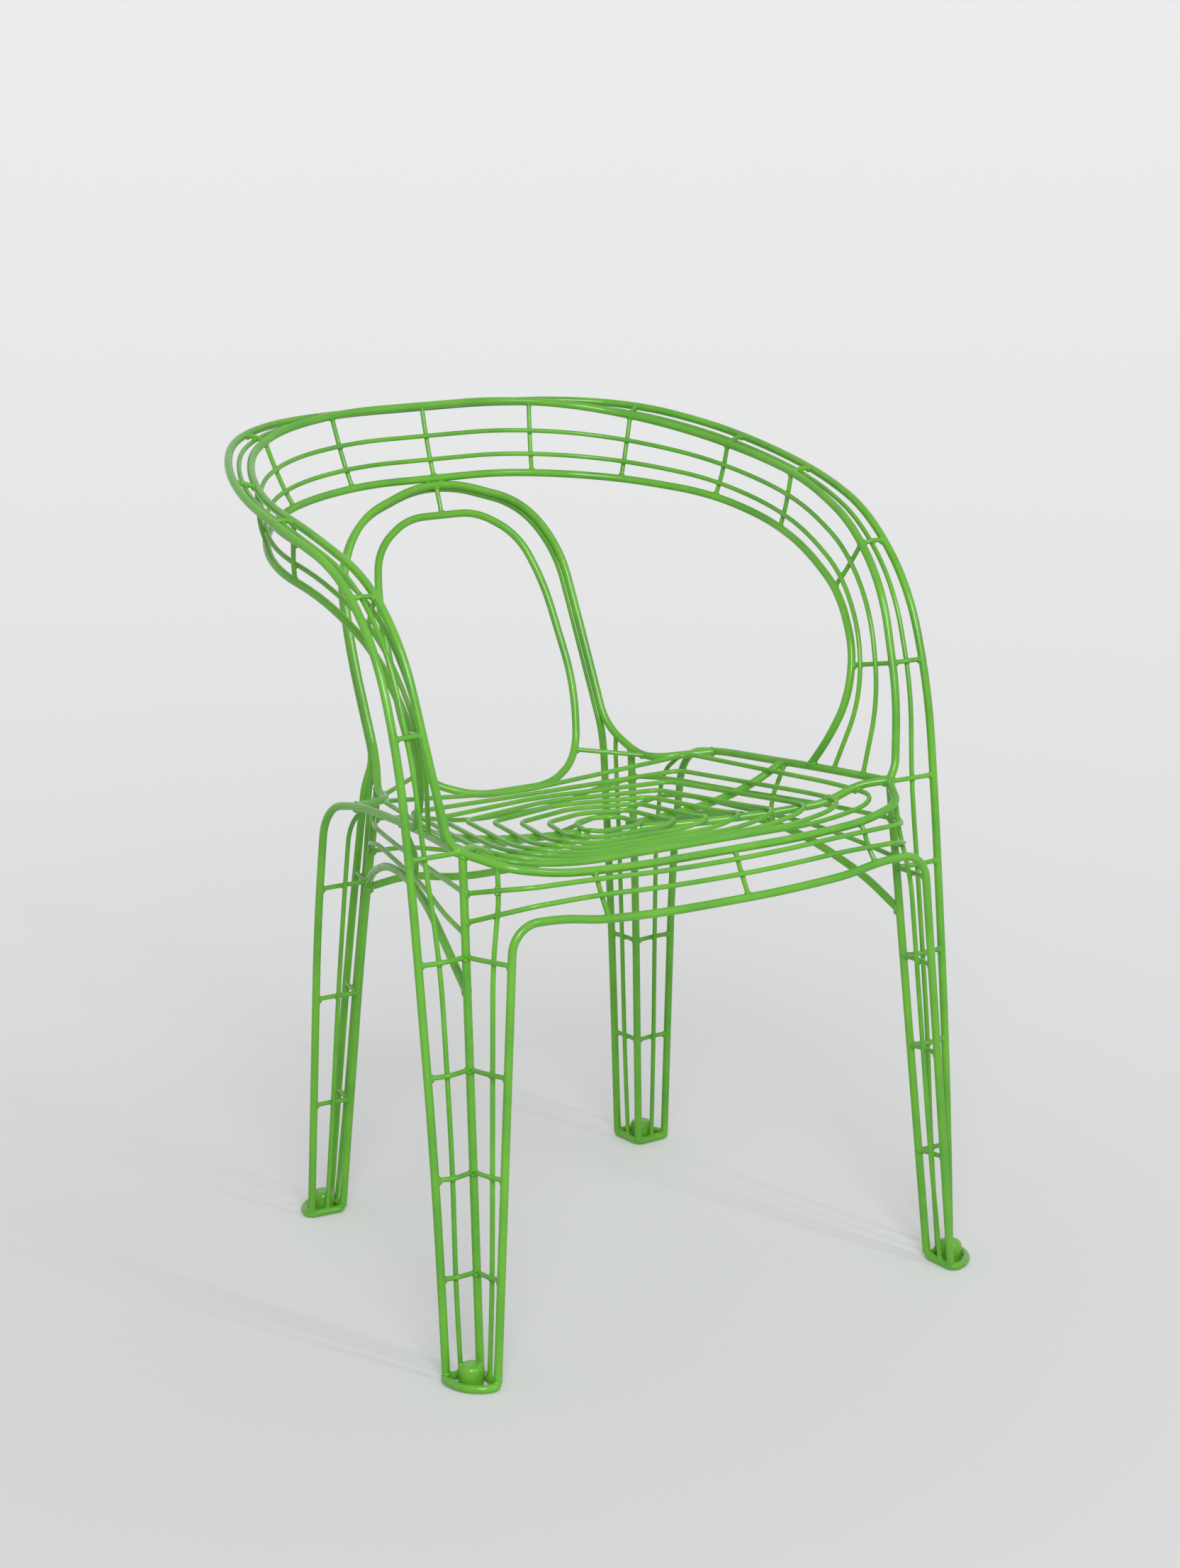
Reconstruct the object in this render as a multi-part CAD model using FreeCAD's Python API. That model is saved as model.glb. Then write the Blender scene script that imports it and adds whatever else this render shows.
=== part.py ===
# Wire mesh armchair, welded from round rod and thinner round wire and painted in one colour.
# Millimetres. +Z is up, the front faces -Y, and the two halves mirror in the plane X = 0.
# Y is counted from a datum midway between the front and rear corner rods' feet. The finished
# pieces are then moved so that the origin lies under the middle of the whole chair.
# Left is -X and right is +X.
import FreeCAD
import Part
import math
import os

from FreeCAD import Vector

# Stock and welds
rod_diameter = 7.4
wire_diameter = 4.4
wire_weld_bite = 0.4        # how far a wire sinks into what it is welded to
rod_weld_bite = 1.2         # how far a rod's end sinks into the rod that it stands on

# Seat frame
seat_height = 456           # where the rods meet at the front corners
rim_half_width = 206        # side rim beside the sitter
corner_rim_gap = 21         # front corners outside the side rims
corner_half_width = rim_half_width + corner_rim_gap
corner_forward = 140
corner_bend_radius = 10
rim_bend_radius = 48        # side rim into the rear leg
front_rim_forward = 197
front_rim_sag = 23          # front rim below the seat height at its middle

# Back and arms
back_depth = 327            # ridge behind the datum
back_rise = 304             # ridge above the seat height
arm_half_width = 266        # ridge at its widest
upper_wire_shares = (0.42, 0.33)    # face wires' places from ridge to lower rail,
lower_wire_shares = (0.745, 0.705)  # at the middle of the back and at the arms' ends

# Front legs, at the floor and just under the seat
front_foot_half_width = 242
front_foot_forward = 196
front_flange_side = 31      # corner rod to outer rod at the foot
front_flange_front = 34     # corner rod to apron rod at the foot
apron_forward = 212         # apron rod in front of the datum
apron_drop = 60             # apron rod below the seat height at its middle
apron_bend_radius = 34

# Rear legs
rear_foot_half_width = 171
rear_foot_back = 196
rear_flange_side = 33
rear_flange_back = 34

# Heights of the rungs on the legs, as shares of the seat height
front_left_shares = [0.2, 0.393, 0.588, 0.8]
front_right_shares = [0.232, 0.454, 0.64, 0.822]
rear_shares = [0.257, 0.496, 0.741]
front_rung_rise = 6         # rungs' front ends above their heights

# Places of the front legs' thin wires along their rungs, which differ from side to side
left_outer_shares = (0.33, 0.43)    # at the seat and on the leg, from the outer to the corner rod
right_outer_shares = (0.47, 0.53)
inner_wire_share = 0.45             # from the apron rod to the corner rod

# Feet
foot_bulge = 38             # foot ring's round side from its inner corner
foot_corner_radius = 6
plug_diameter = 22
plug_height = 20
plug_edge_radius = 5

# Seat rings
ring_count = 8
ring_rim_gap = 5            # outermost ring's front corners inside the side rims
ring_half_width = rim_half_width - ring_rim_gap
inner_ring_half_width = 28
ring_forward = 169
ring_back = 148
ring_centre_forward = 11    # middle of the seat in front of the datum
ring_rear_rise = -45        # outermost ring's rear, from the seat height
ring_rear_bend_radius = 16
bowl_drop = 40              # middle of the seat below the seat height

# Splat in the middle of the back
splat_half_width = 128
loop_half_width = 97
splat_gap = 0.2             # between the splat's front and rear rods

# Front apron
front_rib_places = [-127, 17, 155]
front_rib_slant = 6         # ribs' lower ends to the right of their upper ends

rod_radius = rod_diameter / 2
wire_radius = wire_diameter / 2
wire_touch = wire_diameter - wire_weld_bite


def above(x, y, rise):
    """Point at a height given from the seat height."""
    return Vector(x, y, seat_height + rise)


def flip(point):
    return Vector(-point.x, point.y, point.z)


def on_side(points, side):
    return [Vector(side * p.x, p.y, p.z) for p in points]


def both_halves(points):
    """Route across the chair from the points of its right half, middle first."""
    return [flip(p) for p in reversed(points)] + points


def unit(vector):
    return vector / vector.Length


# Routes: straight runs joined by tangent arcs, as large as the runs allow
def route(points, limits=None):
    limits = limits or {}
    edges = []
    start = points[0]
    for index in range(1, len(points) - 1):
        corner = points[index]
        arriving = corner - points[index - 1]
        leaving = points[index + 1] - corner
        half_turn = arriving.getAngle(leaving) / 2
        if half_turn < 0.002:
            continue
        tangent = 0.49 * min(arriving.Length, leaving.Length)
        if index in limits:
            tangent = min(tangent, limits[index] * math.tan(half_turn))
        radius = tangent / math.tan(half_turn)
        inward = unit(unit(leaving) - unit(arriving))
        first = corner - unit(arriving) * tangent
        middle = corner + inward * (radius / math.cos(half_turn) - radius)
        last = corner + unit(leaving) * tangent
        edges.append(Part.LineSegment(start, first).toShape())
        edges.append(Part.Arc(first, middle, last).toShape())
        start = last
    edges.append(Part.LineSegment(start, points[-1]).toShape())
    return Part.Wire(edges)


def bar(wire, diameter):
    """Solid of round stock along a route."""
    first = wire.Edges[0]
    start = first.valueAt(first.FirstParameter)
    heading = first.tangentAt(first.FirstParameter)
    profile = Part.Wire([Part.makeCircle(diameter / 2, start, heading)])
    return wire.makePipeShell([profile], True, False)


def closed_bar(half_points, diameter, limits=None):
    """Ring from the points of its right half, which start and end on the middle plane."""
    half = bar(route(half_points, limits), diameter)
    other = half.mirror(Vector(0, 0, 0), Vector(1, 0, 0))
    return half.fuse(other)


def nearest(wire, point):
    return wire.distToShape(Part.Vertex(point))[1][0][0]


def at_height(wire, height):
    """Highest place where a route passes a height."""
    spots = wire.discretize(Number=600)
    for low, high in zip(spots, spots[1:]):
        if (low.z - height) * (high.z - height) <= 0 and low.z != high.z:
            share = (height - low.z) / (high.z - low.z)
            return low + (high - low) * share
    raise ValueError("the route doesn't reach %.1f" % height)


def shorten(points, length):
    """Draw the last point back along the last run."""
    run = points[-1] - points[-2]
    return points[:-1] + [points[-1] - unit(run) * length]


def butted(points, stock_radius, bite):
    """Route whose last point, on a neighbour's centre line, is drawn back to its surface."""
    return shorten(points, stock_radius - bite)


def butted_both(points, stock_radius, bite):
    once = butted(points, stock_radius, bite)
    return list(reversed(butted(list(reversed(once)), stock_radius, bite)))


def rung(start, end, crossed, outside):
    """Wire between two rods that lies against the wires it crosses, on their outside."""
    chord = Part.LineSegment(start, end).toShape()
    points = [start]
    for wire in crossed:
        spot = chord.distToShape(wire)[1][0][1]
        ahead = nearest(wire, spot + Vector(3, 3, 3))
        behind = nearest(wire, spot - Vector(3, 3, 3))
        away = unit((ahead - behind).cross(end - start))
        if away.dot(outside) < 0:
            away = away * -1
        points.append(spot + away * wire_touch)
    points.append(end)
    return bar(route(butted_both(points, rod_radius, wire_weld_bite)), wire_diameter)


# Rails of the back and arms
def corner(side=1):
    return above(side * corner_half_width, -corner_forward, -2)


# Each station has the ridge's corner, the step out to the outer rail and the step down to the lower rail
def stations():
    wide = arm_half_width
    deep = back_depth
    high = back_rise
    return [
        ((85, deep, high), (3, 23, -5), (-10, -24, -68)),
        ((160, deep - 18, high - 8), (5, 21, 2), (-18, -24, -65)),
        ((wide - 54, deep - 59, high - 19), (14, 15, 8), (-20, -16, -59)),
        ((wide - 20, deep - 122, high - 31), (20, 7, 7), (-3, -19, -56)),
        ((wide, deep - 197, high - 45), (20, 5, 5), (-2, -8, -57)),
        ((wide - 1, 50, high - 57), (23, 0, 1), (-10, -10, -60)),
        ((wide - 11, -38, high - 85), (24, 8, 8), (-9, 5, -66)),
        ((corner_half_width + 24, 48 - corner_forward, high - 138), (27, -3, 2), (-14, 24, -62)),
        ((corner_half_width + 18, 15 - corner_forward, 72), (32, -5, 6), (-19, 51, -13)),
    ]


ridge_corners = [above(*ridge) for ridge, out, down in stations()]
outer_steps = [Vector(*out) for ridge, out, down in stations()]
lower_steps = [Vector(*down) for ridge, out, down in stations()]

front_rim_corners = [
    above(90, -front_rim_forward, 1 - front_rim_sag),
    above(160, 2 - front_rim_forward, 5 - front_rim_sag),
    above(corner_half_width - 24, 12 - front_rim_forward, 13 - front_rim_sag),
]
rim_joint = corner() + unit(front_rim_corners[-1] - corner()) * 2 * corner_bend_radius

outer_foot = Vector(front_foot_half_width + front_flange_side, 5 - front_foot_forward, 0)
corner_foot = Vector(front_foot_half_width, -front_foot_forward, 0)
apron_foot = Vector(front_foot_half_width + 2, -front_foot_forward - front_flange_front, 0)
rear_outer_foot = Vector(rear_foot_half_width + rear_flange_side, rear_foot_back + 2, 0)
rear_corner_foot = Vector(rear_foot_half_width, rear_foot_back, 0)
rear_apron_foot = Vector(rear_foot_half_width - 4, rear_foot_back + rear_flange_back, 0)
ring_top = rod_diameter - rod_weld_bite
wire_ring_top = rod_diameter - wire_weld_bite


def standing(foot, height=ring_top):
    return Vector(foot.x, foot.y, height)


outer_corners = [p + step for p, step in zip(ridge_corners, outer_steps)] + [
    above(outer_foot.x + 2.5, 43 + outer_foot.y, -36),
    above(outer_foot.x + 0.5, 14 + outer_foot.y, -266),
    standing(outer_foot),
]
outer_wire = route(both_halves(outer_corners))
ridge_ankle = above(corner_half_width + 9, 3 - corner_forward, 10)
ridge_half = ridge_corners + [ridge_ankle, corner(), rim_joint]
ridge_points = both_halves(ridge_half)
ridge_wire = route(ridge_points, {1: corner_bend_radius, len(ridge_points) - 2: corner_bend_radius})
front_rim_wire = route(both_halves(front_rim_corners + [rim_joint]))

# Side rims, which bend down into the rear legs' outer rods
side_rim_half = [
    standing(rear_outer_foot),
    above(rear_outer_foot.x - 4, rear_outer_foot.y - 18, -156),
    above(rear_outer_foot.x - 5, rear_outer_foot.y - 37, -35),
    above(rim_half_width - 9, 99, -20),
    above(rim_half_width - 2, 20, -13),
    above(rim_half_width + 7, -50, -7),
    corner(),
]
side_rim_half = butted(side_rim_half, rod_radius, rod_weld_bite)
side_rim_wires = {side: route(on_side(side_rim_half, side), {2: rim_bend_radius}) for side in (-1, 1)}


def lower_rail_half():
    corners = [p + step for p, step in zip(ridge_corners, lower_steps)]
    landing = nearest(side_rim_wires[1], above(rim_half_width + 5, -37, -8))
    corners.append(landing + Vector(6, -19, 28))
    corners.append(landing)
    return butted(corners, rod_radius, rod_weld_bite)


lower_wire = route(both_halves(lower_rail_half()))


def band_normal(index, steps):
    """Square to one face of the band at a station, pointing towards the sitter."""
    before = ridge_corners[max(index - 1, 0)]
    after = ridge_corners[min(index + 1, len(ridge_corners) - 1)]
    return unit(steps[index].cross(after - before))


def face_wire(shares):
    """Wire along the band's inner face, ending on the side rims."""
    at_middle, at_end = shares
    corners = []
    for index, step in enumerate(lower_steps):
        share = at_middle + (at_end - at_middle) * index / len(lower_steps)
        inward = band_normal(index, lower_steps) * wire_radius
        corners.append(ridge_corners[index] + step * share + inward)
    landing = corner() + (lower_rail_half()[-1] - corner()) * at_end
    corners.append(nearest(side_rim_wires[1], landing))
    corners = butted(corners, rod_radius, wire_weld_bite)
    return route(both_halves(corners))


upper_face_wire = face_wire(upper_wire_shares)
lower_face_wire = face_wire(lower_wire_shares)

# Front corner rods
corner_rod_wires = {}
for side in (-1, 1):
    foot = standing(Vector(side * corner_foot.x, corner_foot.y, 0))
    top = nearest(ridge_wire, above(side * (corner_half_width - 4), -corner_forward - 3, -2))
    corner_rod_wires[side] = route(butted([foot, top], rod_radius, rod_weld_bite))

# Apron rod from foot to foot
apron_corners = [
    above(60, -apron_forward, -apron_drop - 3),
    above(130, -apron_forward, -apron_drop + 1),
    above(165, -apron_forward, -apron_drop + 8),
    above(215, -apron_forward + 1, -apron_drop + 9),
    standing(apron_foot),
]
apron_points = both_halves(apron_corners)
apron_wire = route(apron_points, {1: apron_bend_radius, len(apron_points) - 2: apron_bend_radius})


# Thin wires between the rods of a leg, and the rungs that cross them
def between(first, second, share, height, inward):
    """Place of a thin wire at a height, on the inner side of the rungs from first to second."""
    here = at_height(first, height)
    there = at_height(second, height)
    place = here + (there - here) * share
    normal = unit((there - here).cross(Vector(0, 0, 1)))
    if normal.dot(inward) < 0:
        normal = normal * -1
    return place + normal * wire_radius


def half_of(wire, side):
    """The part of a route that crosses the chair that lies on one side of it."""
    edges = [edge for edge in wire.Edges if side * edge.CenterOfMass.x > 20]
    return Part.Wire(edges)


def front_rung_heights(side):
    shares = front_left_shares if side < 0 else front_right_shares
    return [seat_height * share for share in shares]


rear_rung_heights = [seat_height * share for share in rear_shares]


def wire_foot(first, second, share=0.5):
    return standing(first + (second - first) * share, wire_ring_top)


def outer_mid_half(side):
    """Part of the wire between corner rod and outer rod, from the seat down to the floor."""
    heights = sorted(front_rung_heights(side), reverse=True)
    leg = half_of(outer_wire, side)
    centre = Vector(-side * 200, 0, 0)
    at_seat, on_leg = left_outer_shares if side < 0 else right_outer_shares
    outer_place = at_height(leg, seat_height - 2)
    points = [outer_place + (corner(side) - outer_place) * at_seat + Vector(0, wire_radius, 0)]
    corner_rod = corner_rod_wires[side]
    points += [between(leg, corner_rod, on_leg, height, centre) for height in heights]
    foot = wire_foot(outer_foot, corner_foot, on_leg)
    return points + on_side([foot], side)


def mid_wire_points():
    top = []
    for index, step in enumerate(outer_steps):
        under = band_normal(index, outer_steps) * wire_radius
        if under.z > 0:
            under = under * -1
        top.append(ridge_corners[index] + step / 2 + under)
    right = top + outer_mid_half(1)
    left = on_side(top, -1) + outer_mid_half(-1)
    return list(reversed(left)) + right


mid_wire = route(mid_wire_points())


def front_inner_wire(side):
    """Wire that runs up between corner rod and apron rod and ends on the front rim."""
    heights = front_rung_heights(side)
    leg = half_of(apron_wire, side)
    centre = Vector(-side * 100, 200, 0)
    corner_rod = corner_rod_wires[side]
    points = on_side([wire_foot(apron_foot, corner_foot, inner_wire_share)], side)
    points += [between(leg, corner_rod, inner_wire_share, height, centre) for height in heights]
    points += on_side([above(corner_half_width - 17, -179, -38)], side)
    points.append(nearest(front_rim_wire, above(side * (corner_half_width - 20), -173, -8)))
    return route(butted(points, rod_radius, wire_weld_bite))


front_inner_wires = {side: front_inner_wire(side) for side in (-1, 1)}


def front_leg_rungs(side):
    pieces = []
    outer = half_of(outer_wire, side)
    front = half_of(apron_wire, side)
    outside = Vector(side, -1, 0)
    for height in front_rung_heights(side):
        here = at_height(corner_rod_wires[side], height)
        pieces.append(rung(at_height(outer, height), here, [half_of(mid_wire, side)], outside))
        there = at_height(front, height + front_rung_rise)
        pieces.append(rung(here, there, [front_inner_wires[side]], outside))
    return Part.Compound(pieces)


# Splat: a front rod that flares onto the side rims, and a rear rod that runs down to the feet
splat_lean = Vector(0, 69, 131)
splat_back = unit(Vector(0, 131, -69))


def splat_half():
    wide = splat_half_width
    top = lower_wire_middle() - unit(splat_lean) * (rod_diameter - wire_weld_bite)
    return [
        Vector(22, top.y, top.z),
        Vector(wide - 37, top.y - 13, top.z - 22),
        Vector(wide - 6, top.y - 32, top.z - 69),
        Vector(wide - 1, top.y - 60, top.z - 138),
        above(wide, 192, -5),
        above(wide + 16, 160, -29),
        above(wide + 20, 132, -28),
        nearest(side_rim_wires[1], above(rim_half_width - 8, 102, -20)),
    ]


def lower_wire_middle():
    return nearest(lower_wire, above(0, back_depth, back_rise - 60))


splat_front_points = splat_half()
splat_front_wire = route(both_halves(butted(splat_front_points, rod_radius, rod_weld_bite)))


def splat_rear_half():
    centre = (splat_front_points[0] + splat_front_points[4]) / 2
    centre.x = 0
    reach = rod_diameter + splat_gap
    points = []
    for p in splat_front_points[:5]:
        outward = p - centre
        outward = unit(outward - splat_back * outward.dot(splat_back))
        points.append(p + (splat_back * 0.99 - outward * 0.14) * reach)
    points.append(above(134, 205, -33))
    points.append(above(rear_apron_foot.x - 17, rear_apron_foot.y - 14, -206))
    points.append(standing(rear_apron_foot))
    return points


splat_rear_wire = route(both_halves(splat_rear_half()))


def loop_half():
    """Inner loop, from its top at the middle down to its bottom."""
    top = splat_front_points[0]
    wide = loop_half_width
    behind_ring = ring_back + (rod_diameter + wire_diameter) / 2 - wire_weld_bite
    return [
        Vector(0, top.y - 11, top.z - 28),
        Vector(38, top.y - 11, top.z - 28),
        Vector(78, top.y - 24, top.z - 52),
        Vector(wide - 5, top.y - 50, top.z - 98),
        Vector(wide + 1, top.y - 98, top.z - 193),
        above(wide - 9, 181, -30),
        above(42, behind_ring, ring_rear_rise),
        above(0, behind_ring, ring_rear_rise),
    ]


# Rear legs
def rear_corner_rod(side):
    foot = on_side([standing(rear_corner_foot)], side)[0]
    knee = above(side * (rear_corner_foot.x - 17), rear_corner_foot.y - 19, -171)
    top = nearest(splat_front_wire, above(side * 140, 166, -26))
    return route(butted([foot, knee, top], rod_radius, rod_weld_bite))


rear_corner_wires = {side: rear_corner_rod(side) for side in (-1, 1)}


def rear_outer_wire(side):
    centre = Vector(-side * 100, -100, 0)
    rim = side_rim_wires[side]
    corner_rod = rear_corner_wires[side]
    points = on_side([wire_foot(rear_outer_foot, rear_corner_foot)], side)
    points += [between(rim, corner_rod, 0.5, height, centre) for height in rear_rung_heights]
    points += on_side([above(174, 160, -52)], side)
    points.append(nearest(splat_front_wire, above(side * 172, 124, -27)))
    return route(butted(points, rod_radius, wire_weld_bite))


def rear_inner_wire(side):
    centre = Vector(-side * 200, 0, 0)
    leg = half_of(splat_rear_wire, side)
    corner_rod = rear_corner_wires[side]
    points = on_side([wire_foot(rear_apron_foot, rear_corner_foot)], side)
    points += [between(leg, corner_rod, 0.5, height, centre) for height in rear_rung_heights]
    points += on_side([above(137, 188, -28)], side)
    points.append(nearest(splat_front_wire, above(side * 133, 181, -13)))
    return route(butted(points, rod_radius, wire_weld_bite))


# Seat rings, from the outermost inwards, and the ribs that carry them
def ring_share(number):
    """Size of a ring against the outermost one."""
    pitch = (ring_half_width - inner_ring_half_width) / (ring_count - 1)
    return 1 - (number - 1) * pitch / ring_half_width


def ring_half(number):
    """Right half of a ring. The last number says how late the bowl rises towards that corner."""
    share = ring_share(number)
    outline = [
        (0, -ring_forward, -21, 2),
        (132, -ring_forward, -21, 2),
        (ring_half_width, -ring_forward + 2, -9, 1.2),
        (ring_half_width + 2, -96, -12, 2.2),
        (ring_half_width - 33, 103, -21, 6),
        (16, ring_back, ring_rear_rise, 2),
        (0, ring_back, ring_rear_rise, 2),
    ]
    points = []
    for x, y, rise, power in outline:
        depth = (rise + bowl_drop) * share ** power - bowl_drop
        points.append(above(x * share, (y + ring_centre_forward) * share - ring_centre_forward, depth))
    return points


# Bend radius of the outline's fifth point, the rear side corner, by its index
ring_bends = {4: ring_rear_bend_radius}


def ring_half_wire(number):
    return route(ring_half(number), ring_bends)


def seat_ring(number):
    return closed_bar(ring_half(number), wire_diameter, ring_bends)


def seat_rib(side, start, target, first_offset):
    """Route from the frame past the outermost ring, and then under the others to the middle."""
    points = [start]
    for number in range(1, ring_count + 1):
        share = ring_share(number)
        back = (target[1] + ring_centre_forward) * share - ring_centre_forward
        aim = above(target[0] * share, back, 0)
        tall = Part.LineSegment(aim - Vector(0, 0, 200), aim + Vector(0, 0, 200)).toShape()
        spot = tall.distToShape(ring_half_wire(number))[1][0][1]
        points.append(spot + Vector(0, 0, first_offset if number == 1 else -rib_offset))
    trimmed = list(reversed(butted(list(reversed(points)), rod_radius, rod_weld_bite)))
    return route(on_side(trimmed, side))


rib_offset = (rod_diameter + wire_diameter) / 2 - wire_weld_bite


def diagonal_rib(side):
    """Rod over the outermost ring's front corner and under the others'."""
    start = nearest(ridge_wire, corner())
    target = (ring_half_width + 1, -ring_forward + 43)
    return bar(seat_rib(side, start, target, rib_offset), rod_diameter)


def side_rib(side):
    """Rod under the rings' sides."""
    start = nearest(side_rim_wires[1], above(rim_half_width, 0, -12))
    return bar(seat_rib(side, start, (ring_half_width - 15, 0), -rib_offset), rod_diameter)


rear_outer_wires = {side: rear_outer_wire(side) for side in (-1, 1)}
rear_inner_wires = {side: rear_inner_wire(side) for side in (-1, 1)}


# Front apron: two wires in front of the ribs that join the rim to the apron rod
def front_apron_wire(drop, ahead, corner_drop, turn_drop):
    forward = front_rim_forward + ahead
    right = [
        above(50, -forward, -drop),
        above(130, -forward, -drop + 4),
        above(190, -forward + 2, -drop + 5 - turn_drop / 3),
        above(208, -forward + 18, -drop + 2 - turn_drop),
    ]
    start = at_height(corner_rod_wires[1], seat_height - corner_drop)
    return route(both_halves(butted(right + [start], rod_radius, wire_weld_bite)))


upper_apron_wire = front_apron_wire(29, 7, 37, 0)
lower_apron_wire = front_apron_wire(42, 11, 62, 6)


def front_apron_ribs():
    pieces = []
    for place in front_rib_places:
        top = nearest(front_rim_wire, above(place, -front_rim_forward, -front_rim_sag))
        bottom = nearest(apron_wire, above(place + front_rib_slant, -apron_forward, -apron_drop))
        pieces.append(rung(top, bottom, [upper_apron_wire, lower_apron_wire], Vector(0, 1, 0)))
    return Part.Compound(pieces)


# Side aprons between the front and rear corner rods
def side_apron(side, rear_drop, front_drop, middle, bite):
    rear = at_height(rear_corner_wires[side], seat_height - rear_drop)
    front = at_height(corner_rod_wires[side], seat_height - front_drop)
    points = [rear] + on_side(middle, side) + [front]
    return route(butted_both(points, rod_radius, bite))


side_rod_middle = [
    above(rim_half_width - 46, 142, -99),
    above(rim_half_width - 29, 82, -75),
    above(rim_half_width - 15, 22, -68),
    above(rim_half_width - 1, -42, -74),
    above(rim_half_width + 16, -112, -98),
]
side_upper_middle = [
    above(rim_half_width - 41, 130, -51),
    above(rim_half_width - 24, 61, -48),
    above(rim_half_width + 6, -70, -39),
]
side_lower_middle = [
    above(rim_half_width - 44, 145, -71),
    above(rim_half_width - 36, 112, -64),
    above(rim_half_width - 20, 41, -63),
    above(rim_half_width, -42, -61),
    above(rim_half_width + 15, -103, -67),
]
both_sides = (-1, 1)
side_rod_wires = {s: side_apron(s, 120, 122, side_rod_middle, rod_weld_bite) for s in both_sides}
side_upper_wires = {s: side_apron(s, 54, 36, side_upper_middle, wire_weld_bite) for s in both_sides}
side_lower_wires = {s: side_apron(s, 86, 72, side_lower_middle, wire_weld_bite) for s in both_sides}


def side_apron_rib(side):
    top = nearest(side_rim_wires[side], above(side * rim_half_width, -4, -12))
    bottom = nearest(side_rod_wires[side], above(side * (rim_half_width - 10), 0, -70))
    return rung(top, bottom, [side_upper_wires[side], side_lower_wires[side]], Vector(-side, 0, 0))


# Rear apron between the rear corner rods
def rear_apron(drop, half, bite):
    end = at_height(rear_corner_wires[1], seat_height - drop)
    return route(both_halves(butted(half + [end], rod_radius, bite)))


rear_rod_half = [above(50, 174, -130), above(105, 175, -119)]
rear_upper_half = [above(50, 166, -72), above(105, 168, -60)]
rear_lower_half = [above(50, 170, -103), above(105, 171, -90)]


def rear_leg_rungs(side):
    pieces = []
    rear = half_of(splat_rear_wire, side)
    outside = Vector(side, 1, 0)
    for height in rear_rung_heights:
        here = at_height(rear_corner_wires[side], height)
        there = at_height(side_rim_wires[side], height)
        pieces.append(rung(there, here, [rear_outer_wires[side]], outside))
        pieces.append(rung(here, at_height(rear, height), [rear_inner_wires[side]], outside))
    return Part.Compound(pieces)


# Links between the splat's front rod and its inner loop
def splat_links():
    loop_wire = route(loop_half())
    top = splat_front_points[0]
    pieces = []
    start = nearest(splat_front_wire, Vector(0, top.y, top.z))
    end = nearest(loop_wire, Vector(0, top.y - 11, top.z - 25))
    pieces.append(bar(route(butted_both([start, end], rod_radius, wire_weld_bite)), wire_diameter))
    for side in (-1, 1):
        start = nearest(loop_wire, above(loop_half_width - 11, 186, -25))
        end = nearest(splat_front_wire, above(splat_half_width + 18, 146, -28))
        link = on_side(butted_both([start, end], rod_radius, wire_weld_bite), side)
        pieces.append(bar(route(link), wire_diameter))
    return Part.Compound(pieces)


# Rungs of the back and arms
middle_and_right_rungs = [
    (0, back_depth, back_rise),
    (117, 320, 298),
    (205, 270, 285),
    (254, 170, 267),
    (266, 76, 251),
    (253, -52, 201),
    (246, -113, 101),
]
left_rungs = [
    (-101, 323, 300),
    (-190, 284, 287),
    (-253, 172, 267),
    (-266, 78, 251),
    (-253, -50, 205),
    (-246, -113, 96),
]


def band_rungs():
    pieces = []
    for x, y, rise in middle_and_right_rungs + left_rungs:
        here = nearest(ridge_wire, above(x, y, rise))
        out = nearest(outer_wire, here)
        down = nearest(lower_wire, here)
        pieces.append(rung(out, here, [mid_wire], Vector(0, 0, 1)))
        outside = Vector(x, y, 0)
        pieces.append(rung(here, down, [upper_face_wire, lower_face_wire], outside))
    return pieces


def seat_level_rungs():
    pieces = []
    for side in (-1, 1):
        here = nearest(ridge_wire, above(side * (corner_half_width - 1), -corner_forward - 2, -2))
        out = at_height(half_of(outer_wire, side), seat_height - 2)
        pieces.append(rung(out, here, [half_of(mid_wire, side)], Vector(0, -1, 0)))
    return pieces


# Feet: a ring of rod flat on the floor and a plug that stands in its corner
def foot_ring(corner_at, side_at, end_at):
    first = unit(side_at - corner_at)
    second = unit(end_at - corner_at)
    bulge = corner_at + unit(first + second) * foot_bulge
    lift = Vector(0, 0, rod_radius)
    start = (corner_at + side_at) / 2
    side_knee = side_at + first * 3
    end_knee = end_at + second * 3
    shoulders = [side_knee + second * 14, bulge, end_knee + first * 14]
    loop = [start, side_knee] + shoulders + [end_knee, corner_at, start]
    loop = [p + lift for p in loop]
    tight = foot_corner_radius
    return bar(route(loop, {1: tight, 5: tight, 6: tight}), rod_diameter)


def foot_plug(corner_at, side_at, end_at):
    first = unit(side_at - corner_at)
    second = unit(end_at - corner_at)
    reach = rod_radius + plug_diameter / 2 - wire_weld_bite
    centre = corner_at + (first + second) * reach / (1 + first.dot(second))
    plug = Part.makeCylinder(plug_diameter / 2, plug_height, centre)
    rim = [edge for edge in plug.Edges if edge.Closed and edge.CenterOfMass.z > plug_height / 2]
    return plug.makeFillet(plug_edge_radius, rim)


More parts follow.
